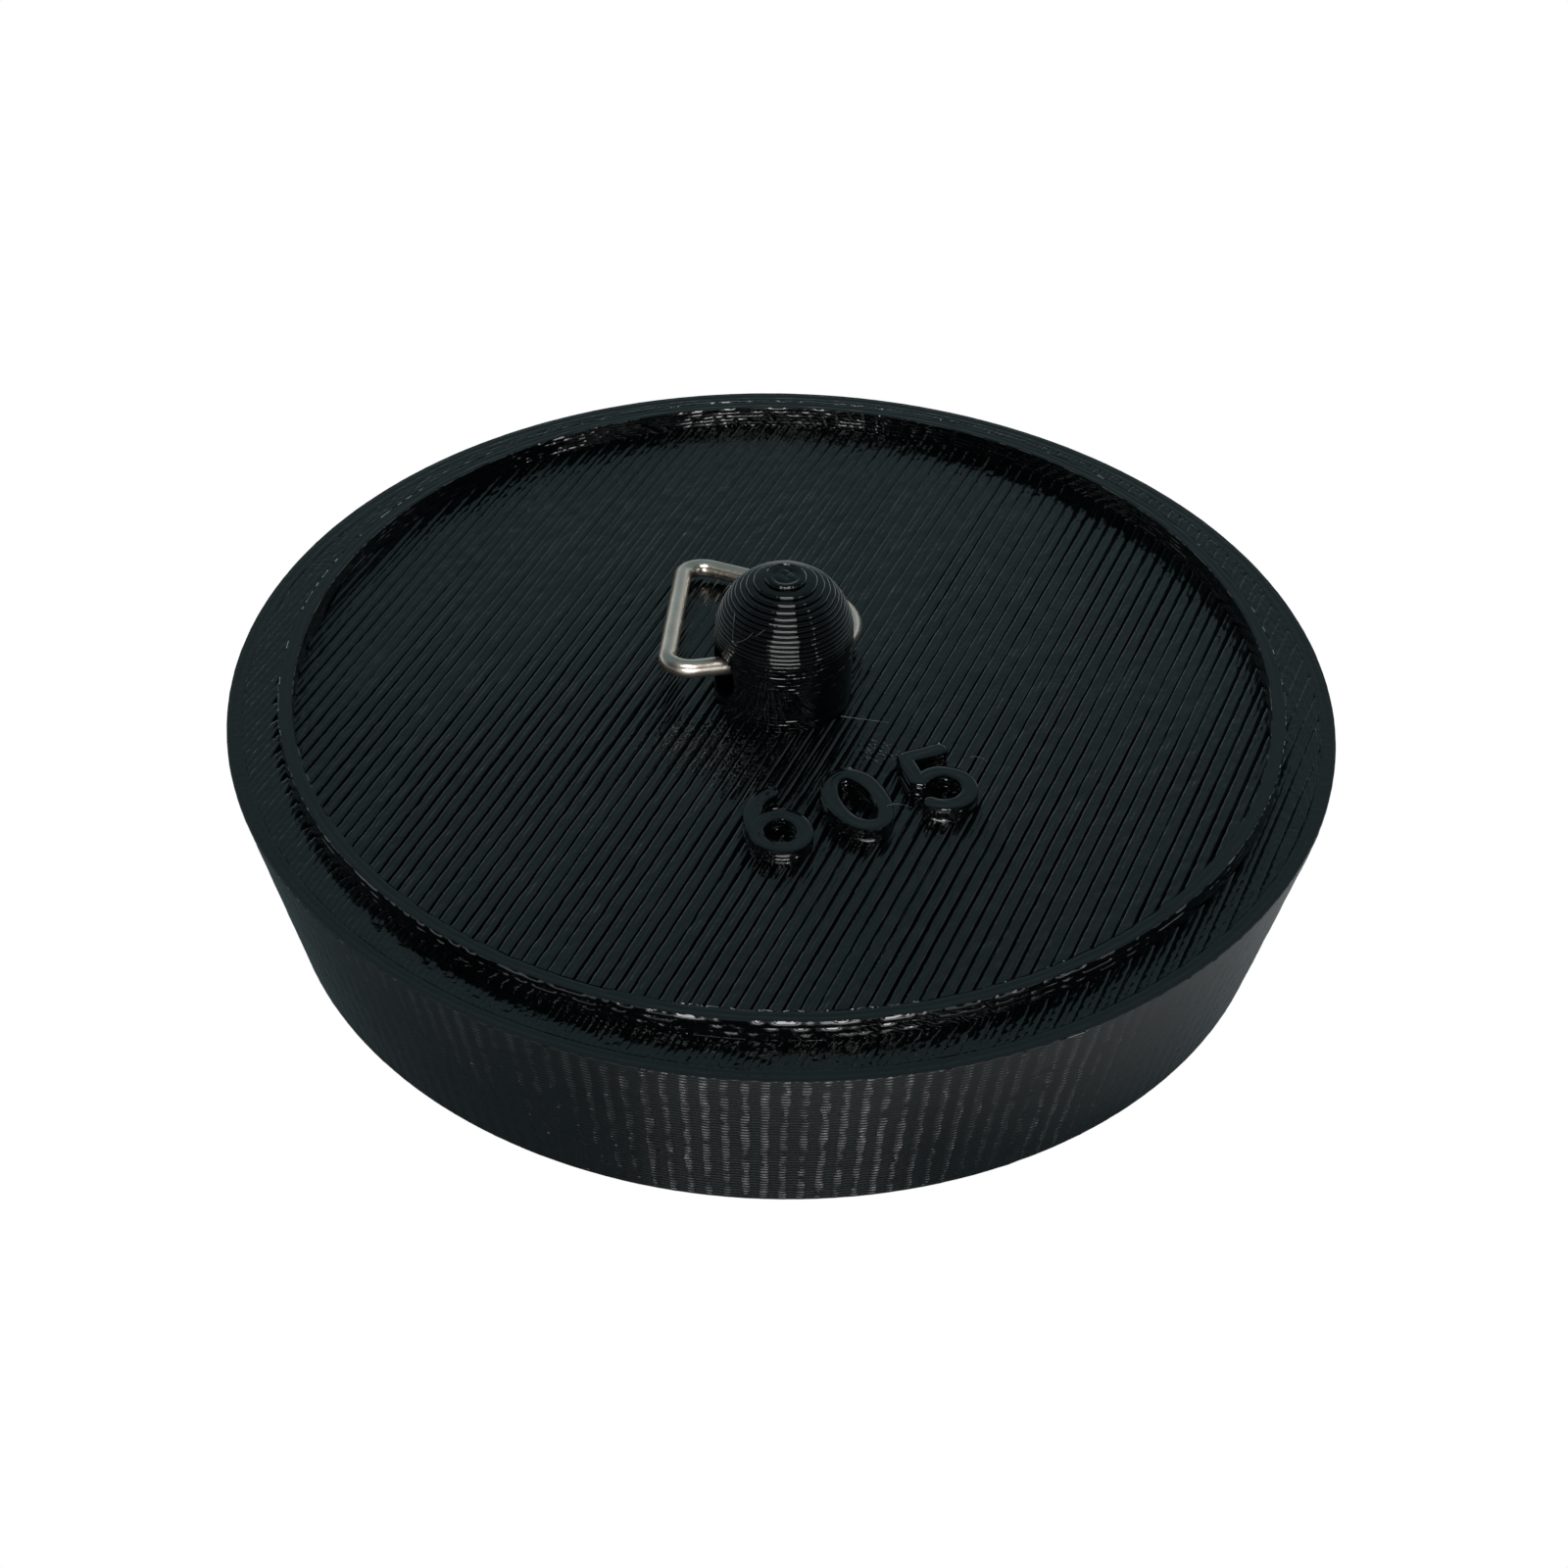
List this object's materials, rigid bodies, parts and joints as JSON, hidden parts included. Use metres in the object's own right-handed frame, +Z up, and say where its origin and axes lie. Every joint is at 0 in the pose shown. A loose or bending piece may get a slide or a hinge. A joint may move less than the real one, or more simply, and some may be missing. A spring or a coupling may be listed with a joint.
{
  "type": "tapered stopper with pull ring",
  "caption": "Round tapered printed stopper with a low ridge on its deck, a domed pull post and a loose D-shaped wire ring through the post.",
  "frame": {"origin": "centre of the flat underside", "axes": "+Z up through the pull post, +X along the post's cross hole, digits read from the -Y side"},
  "size_m": [0.0604, 0.0604, 0.0186],
  "materials": {
    "printed_plastic": "glossy black, printed in layers",
    "ring_wire": "nickel plated wire, bright"
  },
  "bodies": {
    "stopper": {"stopper_body": "printed_plastic"},
    "ring": {"pull_ring": "ring_wire"}
  },
  "joints": [
    {"name": "ring_swing", "type": "hinge", "parent": "stopper", "child": "ring", "pos_m": [0, 0, 0.01313], "axis": [1, 0, 0], "range_deg": [0, 190]}
  ]
}
